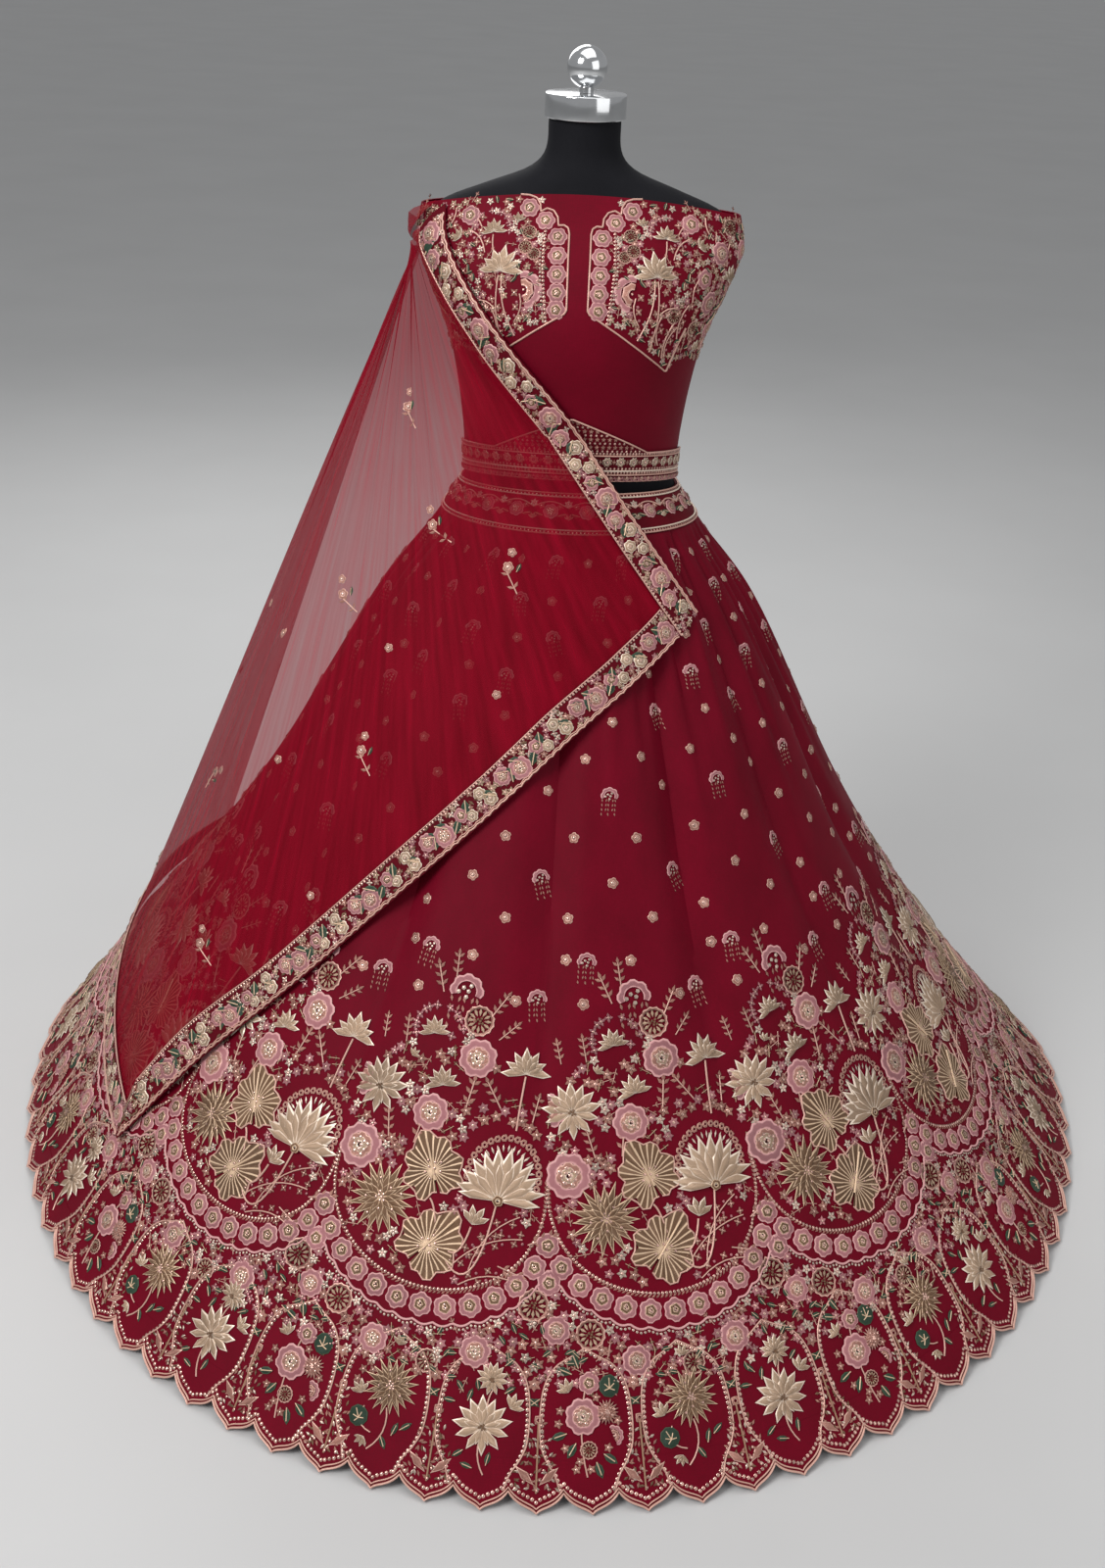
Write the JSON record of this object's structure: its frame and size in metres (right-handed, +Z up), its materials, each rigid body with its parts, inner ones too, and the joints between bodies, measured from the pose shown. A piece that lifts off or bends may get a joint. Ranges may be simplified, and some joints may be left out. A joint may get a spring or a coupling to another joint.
{
  "type": "lehenga choli with dupatta on a dress form",
  "caption": "Flared paneled skirt, cropped off-shoulder blouse and sheer draped veil with embroidered borders, worn by a limbless dress form on a round base.",
  "frame": {"origin": "centre of the round base's underside, on the floor", "axes": "+Z up, -Y the way the wearer's front faces, +X to a viewer's right"},
  "size_m": [1.5686, 1.3268, 1.443],
  "materials": {
    "silk": "matt maroon art silk with dense rose gold, cream and pink thread and bead embroidery",
    "organza": "sheer crimson organza",
    "jersey": "black stretch jersey cover",
    "chrome": "polished chrome",
    "steel": "brushed steel"
  },
  "bodies": {
    "root": {"lehenga_kali_01": "silk", "lehenga_kali_02": "silk", "lehenga_kali_03": "silk", "lehenga_kali_04": "silk", "lehenga_kali_05": "silk", "lehenga_kali_06": "silk", "lehenga_kali_07": "silk", "lehenga_kali_08": "silk", "lehenga_kali_09": "silk", "lehenga_kali_10": "silk", "lehenga_kali_11": "silk", "lehenga_kali_12": "silk", "lehenga_kali_13": "silk", "lehenga_hem_01": "silk", "lehenga_hem_02": "silk", "lehenga_hem_03": "silk", "lehenga_hem_04": "silk", "lehenga_hem_05": "silk", "lehenga_hem_06": "silk", "lehenga_hem_07": "silk", "lehenga_hem_08": "silk", "lehenga_hem_09": "silk", "lehenga_hem_10": "silk", "lehenga_hem_11": "silk", "lehenga_hem_12": "silk", "lehenga_waistband": "silk", "choli_front": "silk", "choli_back": "silk", "choli_belt": "silk", "dupatta_front": "organza", "dupatta_back": "organza", "dupatta_trim_shoulder": "silk", "dupatta_trim_end": "silk", "dupatta_trim_side": "silk", "dupatta_trim_back": "silk", "form_torso": "jersey", "form_neck_cap": "chrome", "form_finial": "chrome", "form_pole": "steel", "form_base": "steel"}
  },
  "joints": []
}
